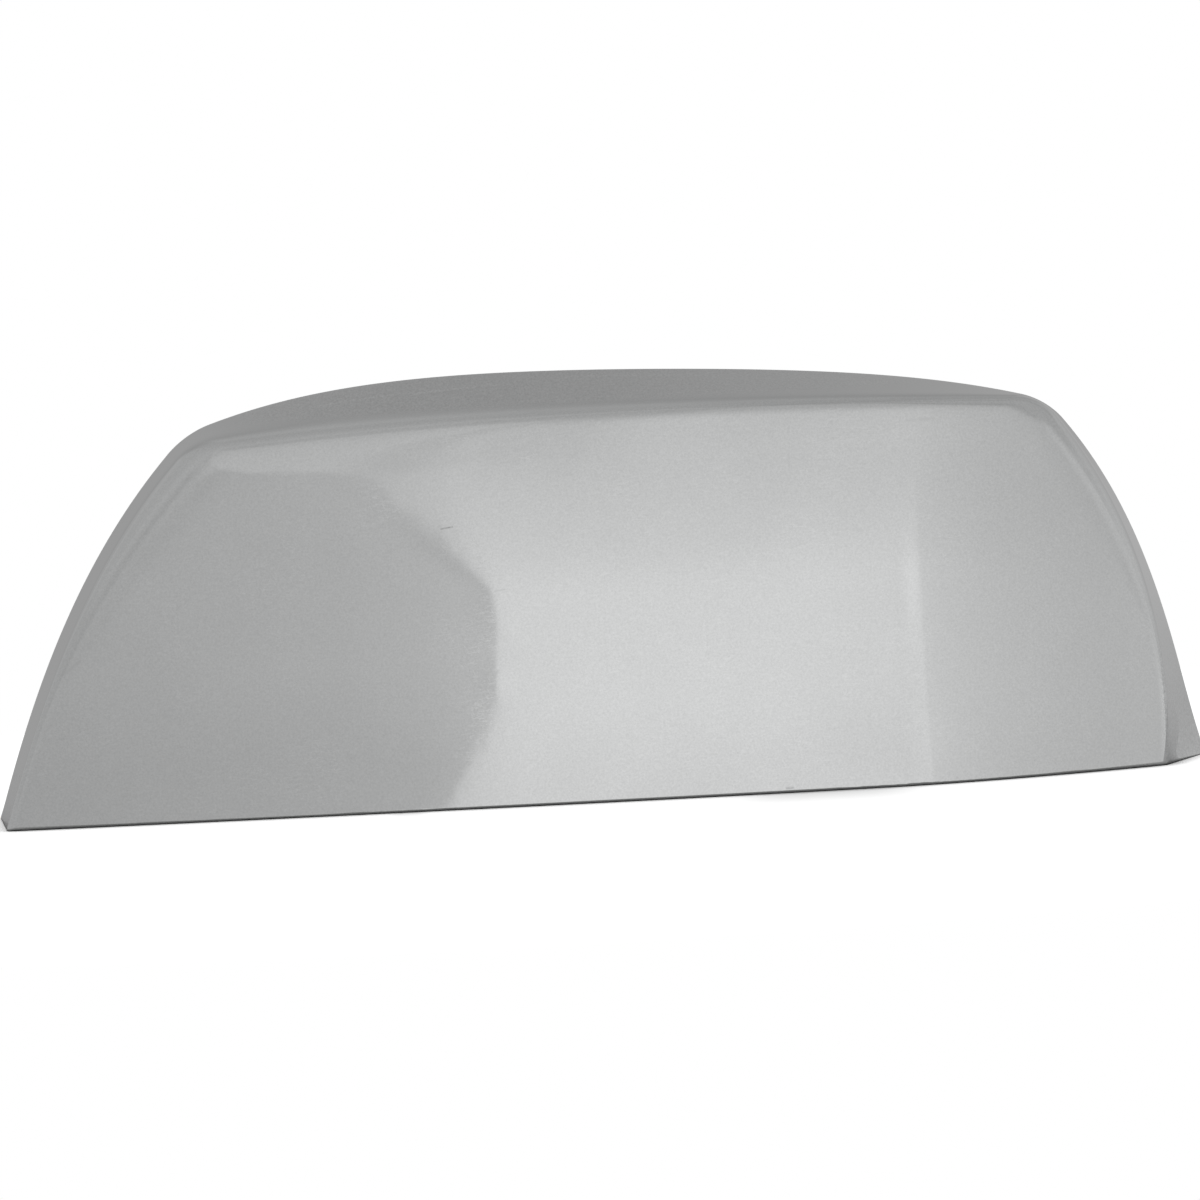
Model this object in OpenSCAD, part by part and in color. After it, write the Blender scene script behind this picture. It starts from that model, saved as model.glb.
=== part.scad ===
// Wing mirror cover: the snap-on upper cap of a large mirror head.
// One moulded shell, chrome plated, with its pins, snap hooks and ribs inside.
// X runs along the cover, the front faces -Y, the open back faces +Y and Z is up.
// The origin is under the middle of the cover, on the plane of its bottom edge.

/* [Back rim] */
// Width over the two lower ends of the back rim
rim_w = 250; // [230:1:270]
// Height of the top left corner of the rim
left_corner_h = 77.5; // [70:0.5:86]
// Height of the top right corner of the rim
right_corner_h = 74.5; // [68:0.5:84]
// Distance of the top left corner in from the left end
left_corner_in = 43; // [34:0.5:52]
// Distance of the top right corner in from the right end
right_corner_in = 28; // [22:0.5:36]
// Rise of the arched top above the line between its corners
crown_rise = 10; // [5:0.5:14]
// Bow of the left side out from its straight line
left_bow = 5.5; // [2:0.5:9]
// Bow of the right side out from its straight line
right_bow = 5.5; // [2:0.5:9]
// Length taken from each side to round a top corner
corner_round = 5; // [3:0.5:8]
// Radius of the lower left corner of the rim, seen from the side
left_heel = 4; // [1:0.5:8]
// Radius of the lower right corner of the rim, seen from the side
right_heel = 18; // [8:1:24]
// Radius of the lower right corner of the rim, seen from the front
foot_round = 2; // [1:0.5:5]

/* [Front face] */
// Depth from the foremost point of the front to the back rim
depth = 52; // [44:1:64]
// Height of the bend between the front face and the roof
bend_h = 77; // [66:0.5:80]
// How far the front outline lies inside the rim at the left side
left_draft = 3.7; // [2:0.1:6]
// How far the front outline lies inside the rim at the lower right
right_draft = 9.5; // [5:0.5:13]
// How far the front outline lies inside the rim at the top right corner
corner_draft = 3.5; // [2:0.1:6]
// Bow of the right side of the front outline
front_right_bow = 8; // [4:0.5:10]
// Bow of the top of the front outline
front_top_bow = 2.4; // [0:0.2:4]
// Distance of the foremost point right of the middle
nose_x = 60; // [30:1:75]
// How far the left end of the face sweeps back
left_sweep = 16.5; // [8:0.5:26]
// How far the right end of the face sweeps back
right_sweep = 19.5; // [8:0.5:26]
// How far the face leans back, from its foot to the bend
face_lean = 5; // [2:0.5:9]
// How far its upright bulge adds to the lean at the bend
face_bulge = 3; // [1:0.5:6]
// Size of the rounded bend at the top left corner
left_bend = 16; // [10:1:18]
// Size of the rounded bend along the roof
roof_bend = 12; // [8:1:14]
// Size of the rounded bend at the foot of both sides
foot_bend = 3; // [3:0.5:5]

/* [Wall and ribs] */
// Thickness of the moulded wall
wall = 2.5; // [2:0.1:3]
// Thickness of a rib
rib_t = 1.4; // [1:0.1:2]
// Height of a rib above the inside of the face
rib_h = 4; // [2:0.5:6]
// Height of the lower rib above the bottom edge
low_rib_z = 22; // [18:1:26]
// Distance of the upper rib below the bend of the roof
high_rib_drop = 17; // [15:1:20]

/* [Locating pins] */
// Diameter of a pin
pin_d = 6; // [4:0.5:8]
// Height of the pins above the bottom edge
pin_z = 42; // [38:1:48]
// Distance between the outer pins
pin_span = 136; // [110:1:150]
// Distance of the pin tips in front of the back rim
pin_setback = 22; // [20:1:26]
// Length of a pin above the shoulder of its boss
pin_bare = 9; // [6:0.5:9]
// How far a boss stands out round its pin
boss_step = 1; // [0.5:0.1:2]
// Width of a fin at the foot of a pin
fin_w = 5; // [3:0.5:7]
// Height of the outer edge of a fin
fin_h = 2; // [1:0.5:3]

/* [Snap hooks] */
// Width of a hook
hook_w = 11; // [8:0.5:14]
// Thickness of a hook's arm
hook_t = 2; // [1.5:0.1:2.5]
// Length of a hook's arm
hook_l = 16; // [13:0.5:18]
// Depth of a hook's barb
barb = 2; // [1.5:0.1:2.5]
// Gap between the roof and the arm of an upper hook
hook_gap = 4; // [3:0.5:5]
// Distance between the outer upper hooks
upper_span = 126; // [100:1:140]
// Distance between the outer lower hooks
lower_span = 170; // [150:1:190]
// Height of the lower hooks above the bottom edge
lower_hook_z = 9; // [7:0.5:12]

/* [Hidden] */

// How each curve leans towards one end, and how full its ends are
left_skew = -0.2;
top_skew = 0.24;
top_full = 0.55;
right_skew = 0.35;
// Powers of the two flanks of the face: 1 is straight, 2 a parabola
left_power = 1.5;
right_power = 1.55;
// Share of a flank over which the nose is blended
nose_blend = 0.15;
// Share of a corner's handles, near 0.55 for a round corner
handle = 0.62;

// Number of steps along each stretch of the outline and across the shell
side_n = 14;
corner_n = 6;
top_n = 26;
wall_n = 3;
bend_n = 6;
face_n = 9;
// Crowds the points of a side towards its foot, where the heel turns
foot_crowd = 1.7;
// Length along the top over which the bend goes from its left to its roof size
bend_run = 70;
// Height up the sides at which the bend starts to grow
bend_from_z = 18;
// Half width of the stretch of the bottom edge that the face's columns meet
hub_half = rim_w / 4;
hub_x = 8;
// How far ribs, pins and hooks are rooted into the wall
root = wall * 0.45;
// Distance from the end of a rib to the end of the front outline
rib_end = 10;
// Distance of the tips of the upper hooks in front of the back rim
hook_setback = 4;
// Number of steps along the rooted edge of a plate
plate_n = 12;
// Small step for measuring a slope
step = 0.01;

high_rib_z = bend_h - high_rib_drop;
rim_y = depth / 2;
nose_y = -depth / 2;
pin_xs = [for (s = [-1:1]) s * pin_span / 2];
pin_tip_y = rim_y - pin_setback;

// Corners of the rim and of the front outline, as [x, z]
rim_a = [-rim_w / 2, 0];
rim_b = [-rim_w / 2 + left_corner_in, left_corner_h];
rim_c = [rim_w / 2 - right_corner_in, right_corner_h];
front_a = rim_a + [left_draft, 0];
front_b = [rim_b[0] + left_draft, bend_h];
front_c = [rim_c[0] - corner_draft, bend_h];
front_d = [rim_w / 2 - right_draft, 0];

// A side of an outline: its two ends, its bow, its skew and its fullness
function rim_sides(end_x) = [
    [rim_a, rim_b, left_bow, left_skew, 0],
    [rim_b, rim_c, crown_rise, top_skew, top_full],
    [rim_c, [end_x, 0], right_bow, right_skew, 0]
];
front_sides = [
    [front_a, front_b, left_bow, left_skew, 0],
    [front_b, front_c, front_top_bow, 0, 0],
    [front_c, front_d, front_right_bow, 0, 0]
];

function unit(v) = v / norm(v);
function mix(a, b, t) = a + (b - a) * t;
function clamp01(t) = max(0, min(1, t));
function smooth(t) = let (c = clamp01(t)) c * c * (3 - 2 * c);
// Gap between a quarter circle of radius r and its upright tangent, at height z
function arc_gap(z, r) = z >= r ? 0 : r - sqrt(r * r - pow(r - z, 2));
function cross2(a, b) = a[0] * b[1] - a[1] * b[0];

// Point and direction of a bowed side at share t of its length
function side_point(s, t) =
    let (d = s[1] - s[0], n = unit([-d[1], d[0]]), w = 1 - 2 * t)
    s[0] + d * t + n * (s[2] * 4 * t * (1 - t) * (1 + s[3] * w + s[4] * w * w));
function side_dir(s, t) = unit(side_point(s, t + step) - side_point(s, t - step));

// Share of a side that a rounded corner takes
function corner_share(s) = corner_round / norm(s[1] - s[0]);

function cubic(p, t) =
    p[0] * pow(1 - t, 3) + p[1] * (3 * t * pow(1 - t, 2))
    + p[2] * (3 * t * t * (1 - t)) + p[3] * pow(t, 3);

// Rounded corner between the end of side a and the start of side b
function corner_points(a, b) =
    let (
        ta = 1 - corner_share(a),
        tb = corner_share(b),
        p0 = side_point(a, ta),
        p3 = side_point(b, tb),
        da = side_dir(a, ta),
        db = side_dir(b, tb),
        la = cross2(p3 - p0, db) / cross2(da, db),
        lb = cross2(p3 - p0, da) / cross2(db, da)
    )
    [for (i = [0:corner_n])
        cubic([p0, p0 + da * la * handle, p3 - db * lb * handle, p3], i / corner_n)];

// Whole outline from the lower left end, over the top, to the lower right end
function outline(s) =
    let (
        up = 1 - corner_share(s[0]),
        t0 = corner_share(s[1]),
        t1 = 1 - corner_share(s[1]),
        down = corner_share(s[2])
    )
    concat(
        [for (i = [0:side_n - 1]) side_point(s[0], up * pow(i / side_n, foot_crowd))],
        corner_points(s[0], s[1]),
        [for (i = [1:top_n - 1]) side_point(s[1], mix(t0, t1, i / top_n))],
        corner_points(s[1], s[2]),
        [for (i = [1:side_n])
            side_point(s[2], 1 - (1 - down) * pow(1 - i / side_n, foot_crowd))]
    );

// Draws the foot of the rim's right side in round its corner
function foot_in(p) =
    p[0] < 0 || p[1] >= foot_round ? p : [p[0] - arc_gap(p[1], foot_round), p[1]];

// Rim whose right side starts from end_x, and how far such a rim falls short
function rim_from(end_x) = [for (p = outline(rim_sides(end_x))) foot_in(p)];
function short_by(end_x) = rim_w / 2 - max([for (p = rim_from(end_x)) p[0]]);
rim_end_x = rim_w / 2 + short_by(rim_w / 2);
rim = rim_from(rim_end_x + short_by(rim_end_x));
front = outline(front_sides);
columns = len(rim);

// Sweep of one flank of the face, from 0 at the nose to 1 at its end
function flank(u, power) =
    (pow(u * u + nose_blend * nose_blend, power / 2) - pow(nose_blend, power))
    / (pow(1 + nose_blend * nose_blend, power / 2) - pow(nose_blend, power));

// Y of the outside of the front face at x, z
function face_y(x, z) =
    nose_y + face_lean * z / bend_h + face_bulge * pow(z / bend_h, 2)
    + (x < nose_x
        ? left_sweep * flank((nose_x - x) / (nose_x + rim_w / 2), left_power)
        : right_sweep * flank((x - nose_x) / (rim_w / 2 - nose_x), right_power));
function face_point(p, inset) = [p[0], face_y(p[0], p[1]) + inset, p[1]];

// Y of the back rim at x, z, drawn forward round the heel
function rim_edge_y(x, z) = rim_y - arc_gap(z, x < 0 ? left_heel : right_heel);

// Size of the bend between wall and face at a point of the front outline
function bend_at(p) =
    let (top_bend = mix(left_bend, roof_bend, smooth((p[0] - rim_b[0]) / bend_run)))
    mix(foot_bend, top_bend, smooth((p[1] - bend_from_z) / (bend_h - bend_from_z)));

function quintic(p, t) =
    let (s = 1 - t)
    p[0] * pow(s, 5) + p[1] * (5 * t * pow(s, 4)) + p[2] * (10 * t * t * pow(s, 3))
    + p[3] * (10 * pow(t, 3) * s * s) + p[4] * (5 * pow(t, 4) * s) + p[5] * pow(t, 5);

// One column of the shell, from the rim over the bend and down the face to the
// bottom edge. An inset of 0 gives the outside, the wall's thickness the inside.
function column(i, inset) =
    let (
        hub = [hub_x + hub_half * (2 * i / (columns - 1) - 1), 0],
        r = rim[i] + unit(hub - rim[i]) * inset,
        f = front[i] + unit(hub - front[i]) * inset,
        g = unit(hub - f),
        bend = bend_at(front[i]) - inset * 0.8,
        back = [r[0], rim_edge_y(rim[i][0], rim[i][1]), r[1]],
        edge = face_point(f, inset),
        start = edge + unit(back - edge) * bend,
        q = f + g * bend,
        end = face_point(q, inset),
        slope = (face_point(q + g * step, inset) - face_point(q - g * step, inset)) / (2 * step),
        edge2 = end - slope * bend,
        curve = [start, (start + edge) / 2, edge, edge2, (end + edge2) / 2, end]
    )
    concat(
        [for (j = [0:wall_n - 1]) mix(back, start, j / wall_n)],
        [for (j = [0:bend_n]) quintic(curve, j / bend_n)],
        [for (j = [1:face_n]) face_point(mix(q, hub, j / face_n), inset)]
    );

rows = wall_n + bend_n + face_n + 1;

// Index of a point: side 0 is the outside, side 1 the inside
function at(side, i, j) = (side * columns + i) * rows + j;
function quad(a, b, c, d) = [[a, c, b], [a, d, c]];
function flat(l) = [for (a = l) for (b = a) b];

module shell() {
    points = concat(
        flat([for (i = [0:columns - 1]) column(i, 0)]),
        flat([for (i = [0:columns - 1]) column(i, wall)])
    );
    last = rows - 1;
    end = columns - 1;
    faces = concat(
        flat([for (i = [0:end - 1]) for (j = [0:last - 1])
            quad(at(0, i, j), at(0, i, j + 1), at(0, i + 1, j + 1), at(0, i + 1, j))]),
        flat([for (i = [0:end - 1]) for (j = [0:last - 1])
            quad(at(1, i, j), at(1, i + 1, j), at(1, i + 1, j + 1), at(1, i, j + 1))]),
        flat([for (i = [0:end - 1])
            quad(at(0, i, 0), at(0, i + 1, 0), at(1, i + 1, 0), at(1, i, 0))]),
        flat([for (i = [0:end - 1])
            quad(at(0, i, last), at(1, i, last), at(1, i + 1, last), at(0, i + 1, last))]),
        flat([for (j = [0:last - 1])
            quad(at(0, 0, j), at(1, 0, j), at(1, 0, j + 1), at(0, 0, j + 1))]),
        flat([for (j = [0:last - 1])
            quad(at(0, end, j), at(0, end, j + 1), at(1, end, j + 1), at(1, end, j))])
    );
    polyhedron(points, faces, convexity = 6);
}

// Y of the inside of the face, and Z of the underside of the roof
function inside_y(x, z) = face_y(x, z) + wall;
function top_z(s, x) = side_point(s, (x - s[0][0]) / (s[1][0] - s[0][0]))[1];
function roof_z(x, y) =
    mix(top_z(rim_sides(rim_w / 2)[1], x), top_z(front_sides[1], x),
        (rim_y - y) / (rim_y - face_y(x, bend_h))) - wall;

// Flat plate that lies level at height z. Its front edge is rooted in the face from
// x0 to x1, and its back edge is the list of [x, y] points, from x1 to x0.
module level_plate(z, x0, x1, back) {
    translate([0, 0, z - rib_t / 2])
        linear_extrude(rib_t)
            polygon(concat(
                [for (i = [0:plate_n]) let (x = mix(x0, x1, i / plate_n))
                    [x, inside_y(x, z) - root]],
                back
            ));
}

// Flat plate that stands upright at x, rooted in the face from z0 to z1, with its
// back edge as a list of [y, z] points, from z1 to z0
module upright_plate(x, z0, z1, back) {
    translate([x - rib_t / 2, 0, 0])
        rotate([90, 0, 90])
            linear_extrude(rib_t)
                polygon(concat(
                    [for (i = [0:plate_n]) let (z = mix(z0, z1, i / plate_n))
                        [inside_y(x, z) - root, z]],
                    back
                ));
}

module long_rib(z, x0, x1) {
    level_plate(z, x0, x1, [for (i = [plate_n:-1:0]) let (x = mix(x0, x1, i / plate_n))
        [x, inside_y(x, z) + rib_h]]);
}

module upright_rib(x, z0, z1) {
    upright_plate(x, z0, z1, [for (i = [plate_n:-1:0]) let (z = mix(z0, z1, i / plate_n))
        [inside_y(x, z) + rib_h, z]]);
}

module ribs() {
    long_rib(low_rib_z, front_a[0] + rib_end, front_d[0] - rib_end);
    long_rib(high_rib_z, front_b[0] + rib_end / 2, front_c[0]);
    for (x = pin_xs) upright_rib(x, low_rib_z, high_rib_z);
}

// Round bar from y0 to y1 at x, at the height of the pins
module pin_bar(x, y0, y1, d) {
    translate([x, y0, pin_z])
        rotate([-90, 0, 0])
            cylinder(h = y1 - y0, d = d, $fn = 48);
}

// Locating pin on a shouldered boss, which four tapered fins join to the face
module locating_pin(x) {
    face = inside_y(x, pin_z);
    reach = pin_d / 2 + fin_w;
    shoulder = max(pin_tip_y - pin_bare, face + fin_h + 2 * boss_step);
    fin_top = shoulder - boss_step;
    neck = pin_d / 4;
    pin_bar(x, face - root, pin_tip_y, pin_d);
    pin_bar(x, face - root, shoulder, pin_d + 2 * boss_step);
    level_plate(pin_z, x - reach, x + reach, [
        [x + reach, inside_y(x + reach, pin_z) + fin_h],
        [x + neck, fin_top],
        [x - neck, fin_top],
        [x - reach, inside_y(x - reach, pin_z) + fin_h]
    ]);
    upright_plate(x, pin_z - reach, pin_z + reach, [
        [inside_y(x, pin_z + reach) + fin_h, pin_z + reach],
        [fin_top, pin_z + neck],
        [fin_top, pin_z - neck],
        [inside_y(x, pin_z - reach) + fin_h, pin_z - reach]
    ]);
}

// Turns a profile drawn in Y and Z into a piece of the hook's width, centred on x
module across(x) {
    translate([x - hook_w / 2, 0, 0])
        rotate([90, 0, 90])
            linear_extrude(hook_w)
                children();
}

// Arm from y0 to its tip at y1, with its top at z and a barb under the tip
module hook_arm(x, y0, y1, z) {
    under = z - hook_t;
    across(x)
        polygon([
            [y0, z],
            [y0, under],
            [y1 - 2 * barb, under],
            [y1 - 2 * barb, under - barb],
            [y1 - 1.5 * barb, under - barb],
            [y1, under],
            [y1, z]
        ]);
}

// Hook on a post under the roof
module upper_hook(x) {
    tip = rim_y - hook_setback;
    y = tip - hook_l;
    z = roof_z(x, y) - hook_gap;
    hook_arm(x, y, tip, z);
    across(x)
        translate([y - hook_t, z - hook_t])
            square([2 * hook_t, hook_t + hook_gap + root]);
}

// Hook that stands off the inside of the face, with a web above its root
module lower_hook(x) {
    z = lower_hook_z;
    xs = [for (i = [0:plate_n]) x + hook_w * (i / plate_n - 0.5)];
    deep = max([for (v = xs) inside_y(v, z)]);
    tip = inside_y(x, z) + hook_l;
    web_h = hook_l / 2;
    hook_arm(x, deep, tip, z);
    translate([0, 0, z - hook_t])
        linear_extrude(hook_t)
            polygon(concat(
                [for (v = xs) [v, inside_y(v, z) - root]],
                [[xs[plate_n], deep + root], [xs[0], deep + root]]
            ));
    upright_plate(x, z - hook_t / 2, z + web_h, [
        [inside_y(x, z + web_h) + rib_t, z + web_h],
        [inside_y(x, z) + web_h, z],
        [inside_y(x, z) + web_h, z - hook_t / 2]
    ]);
}

module mirror_cover() {
    color("silver") {
        shell();
        ribs();
        for (x = pin_xs) locating_pin(x);
        for (i = [0:3]) upper_hook(hub_x + upper_span * (i / 3 - 0.5));
        for (i = [0:3]) lower_hook(lower_span * (i / 3 - 0.5));
    }
}

mirror_cover();
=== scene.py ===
"""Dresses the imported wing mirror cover: its plated shell, pins, hooks and ribs, and the studio round it."""

import math

import bmesh
import bpy
from bpy.props import FloatProperty, FloatVectorProperty, IntProperty, PointerProperty
from mathutils import Matrix, Vector


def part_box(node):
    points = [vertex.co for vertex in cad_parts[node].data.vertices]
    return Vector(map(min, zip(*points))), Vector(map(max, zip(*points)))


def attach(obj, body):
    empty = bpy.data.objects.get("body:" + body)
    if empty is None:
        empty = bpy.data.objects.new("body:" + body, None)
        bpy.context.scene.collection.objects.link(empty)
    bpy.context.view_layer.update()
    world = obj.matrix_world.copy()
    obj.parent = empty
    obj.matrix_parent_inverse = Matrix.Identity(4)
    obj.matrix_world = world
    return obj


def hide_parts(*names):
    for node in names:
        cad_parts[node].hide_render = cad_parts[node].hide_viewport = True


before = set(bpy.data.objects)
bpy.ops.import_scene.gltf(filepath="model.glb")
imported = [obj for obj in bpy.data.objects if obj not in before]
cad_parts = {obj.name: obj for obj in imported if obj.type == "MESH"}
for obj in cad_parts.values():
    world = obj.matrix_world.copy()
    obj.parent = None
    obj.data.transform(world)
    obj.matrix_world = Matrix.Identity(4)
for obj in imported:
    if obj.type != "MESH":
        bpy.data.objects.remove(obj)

bl_info = {
    "name": "Wing mirror cover",
    "version": (1, 0, 0),
    "blender": (4, 5, 0),
    "location": "3D View > Sidebar > Mirror cover",
    "description": "Builds the plated shell of a wing mirror with the parts moulded inside it",
    "category": "Object",
}

NODE = "mirror_cover"
BODY = "root"
MM = 0.001
LOW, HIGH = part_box(NODE)


def length(name, description, default, **more):
    """A size in metres, for a property group."""
    return FloatProperty(
        name=name, description=description, default=default,
        subtype="DISTANCE", unit="LENGTH", precision=5, **more,
    )


def share(name, description, default, **more):
    """A plain number, for a property group."""
    return FloatProperty(name=name, description=description, default=default, precision=4, **more)


def grey(name, description, default):
    """A colour, for a property group."""
    return FloatVectorProperty(
        name=name, description=description, default=default, subtype="COLOR", min=0, max=1
    )


class CoverOutline(bpy.types.PropertyGroup):
    """The back rim and the outline of the front face, seen from the front."""

    rim_w: length("Rim width", "Width over the two lower ends of the rim", HIGH.x - LOW.x)
    left_corner_h: length("Left corner height", "Height of the rim's top left corner", 77.5 * MM)
    right_corner_h: length("Right corner height", "Height of the top right corner", 74.5 * MM)
    left_corner_in: length("Left corner in", "Corner's distance in from the left end", 43 * MM)
    right_corner_in: length("Right corner in", "Corner's distance in from the right", 28 * MM)
    crown_rise: length("Crown rise", "Rise of the arched top above its corners", 10 * MM)
    left_bow: length("Left bow", "Bow of the left side out from a straight line", 5.5 * MM)
    right_bow: length("Right bow", "Bow of the right side out from a straight line", 5.5 * MM)
    corner_round: length("Corner round", "Length a rounded corner takes of each side", 5 * MM)
    foot_round: length("Foot round", "Radius of the rim's lower right corner", 2 * MM)
    bend_h: length("Bend height", "Height of the bend between the face and the roof", 77 * MM)
    left_draft: length("Left draft", "How far the front lies inside the rim at left", 3.7 * MM)
    right_draft: length("Right draft", "How far it lies inside at the lower right", 9.5 * MM)
    corner_draft: length("Corner draft", "How far it lies inside at the top right", 3.5 * MM)
    front_right_bow: length("Front right bow", "Bow of the front's right side", 8 * MM)
    front_top_bow: length("Front top bow", "Bow of the front's top", 2.4 * MM)
    left_skew: share("Left skew", "How the left side leans towards one end", -0.2)
    top_skew: share("Top skew", "How the top leans towards one end", 0.24)
    top_full: share("Top fullness", "How full the ends of the top are", 0.55)
    right_skew: share("Right skew", "How the right side leans towards one end", 0.35)
    handle: share("Corner handle", "Handle of a rounded corner's curve", 0.62)
    side_steps: IntProperty(name="Side steps", description="Steps up each side", default=56)
    corner_steps: IntProperty(name="Corner steps", description="Steps round a corner", default=20)
    top_steps: IntProperty(name="Top steps", description="Steps along the top", default=110)


class CoverSection(bpy.types.PropertyGroup):
    """How the shell runs from the rim, over the bend and down the face."""

    depth: length("Depth", "From the foremost point to the back rim", HIGH.y - LOW.y)
    rim_w: length("Rim width", "Width over which the face sweeps back", HIGH.x - LOW.x)
    bend_h: length("Bend height", "Height at which the face has its full lean", 77 * MM)
    nose_x: length("Nose", "Distance of the foremost point right of the middle", 60 * MM)
    left_sweep: length("Left sweep", "How far the left end sweeps back", 16.5 * MM)
    right_sweep: length("Right sweep", "How far the right end sweeps back", 19.5 * MM)
    left_power: share("Left power", "1 is a straight flank, 2 a parabola", 1.5)
    right_power: share("Right power", "1 is a straight flank, 2 a parabola", 1.55)
    nose_blend: share("Nose blend", "Share of a flank over which the nose is blended", 0.15)
    face_lean: length("Face lean", "How far the face leans back at the bend", 5 * MM)
    face_bulge: length("Face bulge", "What its upright bulge adds there", 3 * MM)
    left_bend: length("Left bend", "Size of the rounded bend at the top left corner", 16 * MM)
    roof_bend: length("Roof bend", "Size of the bend along the roof", 12 * MM)
    foot_bend: length("Foot bend", "Size of the bend at the foot of both sides", 3 * MM)
    bend_run: length("Bend run", "Length over which it goes from left to roof", 70 * MM)
    roof_from: length("Roof from", "Where it starts to do so", -82 * MM)
    bend_from: length("Bend from", "Height at which the bend starts to grow", 18 * MM)
    left_heel: length("Left heel", "Radius of the lower left back corner", 4 * MM)
    right_heel: length("Right heel", "Radius of the lower right back corner", 18 * MM)
    wall: length("Wall", "Thickness of the moulded wall", 2.5 * MM)
    edge_r: length("Edge radius", "Rounding of the rim and of the bottom edge", 0.45 * MM)
    slope_step: length("Slope step", "Small step for measuring a slope", 0.4 * MM)


class CoverFittings(bpy.types.PropertyGroup):
    """Pins, hooks and ribs moulded inside the shell."""

    rib_t: length("Rib thickness", "Thickness of a rib", 1.4 * MM)
    rib_h: length("Rib height", "Height of a rib above the inside of the face", 4 * MM)
    low_rib_z: length("Lower rib height", "Lower rib's height above the edge", 22 * MM)
    high_rib_z: length("Upper rib height", "Upper rib's height above the edge", 60 * MM)
    root: length("Root", "How far ribs, pins and hooks reach into the wall", 1.125 * MM)
    pin_d: length("Pin diameter", "Diameter of a locating pin", 6 * MM)
    pin_z: length("Pin height", "Height of the pins above the bottom edge", 42 * MM)
    pin_span: length("Pin span", "Distance between the outer pins", 136 * MM)
    pin_tip_y: length("Pin tips", "Where the pins end, from the middle of the depth", 4 * MM)
    pin_bare: length("Bare length", "Length of a pin above its boss's shoulder", 9 * MM)
    boss_step: length("Boss step", "How far a boss stands out round its pin", 1 * MM)
    fin_w: length("Fin width", "Width of a fin at the foot of a pin", 5 * MM)
    fin_h: length("Fin height", "Height of the outer edge of a fin", 2 * MM)
    hook_w: length("Hook width", "Width of a snap hook", 11 * MM)
    hook_t: length("Hook thickness", "Thickness of a hook's arm", 2 * MM)
    hook_l: length("Hook length", "Length of a hook's arm", 16 * MM)
    barb: length("Barb", "Depth of a hook's barb", 2 * MM)
    hook_gap: length("Hook gap", "Gap between the roof and an upper hook's arm", 4 * MM)
    upper_span: length("Upper span", "Distance between the outer upper hooks", 126 * MM)
    upper_x: length("Upper middle", "Middle of the upper hooks", 8 * MM)
    upper_tip_y: length("Upper tips", "Where the upper hooks end", 22 * MM)
    lower_span: length("Lower span", "Distance between the outer lower hooks", 170 * MM)
    lower_z: length("Lower hook height", "Height of the lower hooks", 9 * MM)
    edge_r: length("Edge radius", "Rounding of the moulded edges", 0.25 * MM)


class CoverFinish(bpy.types.PropertyGroup):
    """The plated surface, outside and inside."""

    plate_colour: grey("Plating", "Colour of the bright plating", (0.626, 0.632, 0.632))
    inner_colour: grey("Inner plating", "Colour of the duller inside", (0.5, 0.5, 0.51))
    plate_rough: share("Roughness", "Roughness of the bright plating", 0.035, min=0, max=1)
    inner_rough: share("Inner roughness", "Roughness inside", 0.36, min=0, max=1)
    peel_size: length("Peel size", "Width of the plating's soft ripples", 7 * MM)
    peel_height: length("Peel height", "Height of the soft ripples", 0.006 * MM)
    grain_size: length("Grain size", "Width of the plating's fine grain", 0.42 * MM)
    grain_height: length("Grain height", "Height of the fine grain", 0.00012 * MM)
    grain: share("Grain", "How much the grain changes the brightness", 0.36)
    cloud_size: length("Cloud size", "Width of the faint clouds in the plating", 26 * MM)
    cloud: share("Cloud", "How much the clouds change the brightness", 0.07)
    hair: share("Hairlines", "How much brighter a hairline is", 0.04)


class CoverStudio(bpy.types.PropertyGroup):
    """Camera, lamps, floor and the light that the plating mirrors."""

    distance: length("Camera distance", "From the camera to the cover", 1.6)
    aim_height: length("Aim height", "Height that the camera looks at", 44 * MM)
    elevation: FloatProperty(
        name="Elevation", description="Camera's angle above the horizon",
        default=math.radians(3.2), subtype="ANGLE", unit="ROTATION",
    )
    roll: FloatProperty(
        name="Roll", description="How far the cover is turned in the picture",
        default=math.radians(3.3), subtype="ANGLE", unit="ROTATION",
    )
    lens: FloatProperty(
        name="Lens", description="Focal length in millimetres on a 36 mm sensor",
        default=234.5, unit="CAMERA",
    )
    shift_x: share("Shift X", "Sideways shift of the picture, as a share of it", 0.0097)
    shift_y: share("Shift Y", "Upright shift of the picture, as a share of it", -0.0171)
    fill: share("Fill", "Plain level of the light from all round", 0.55)
    floor_colour: grey("Floor", "Colour of the floor", (0.4, 0.4, 0.4))
    floor_glow: share("Floor glow", "White that the camera sees in the floor besides", 0.82)
    floor_mirrored: share("Mirrored glow", "Share of that white that the plating mirrors", 0.05)
    floor_radius: length("Floor radius", "Radius of the round floor", 0.3)
    contact: length("Contact shadow", "How far the shadow at a foot reaches", 5 * MM)


# ---------------------------------------------------------------- node formulas


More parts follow.
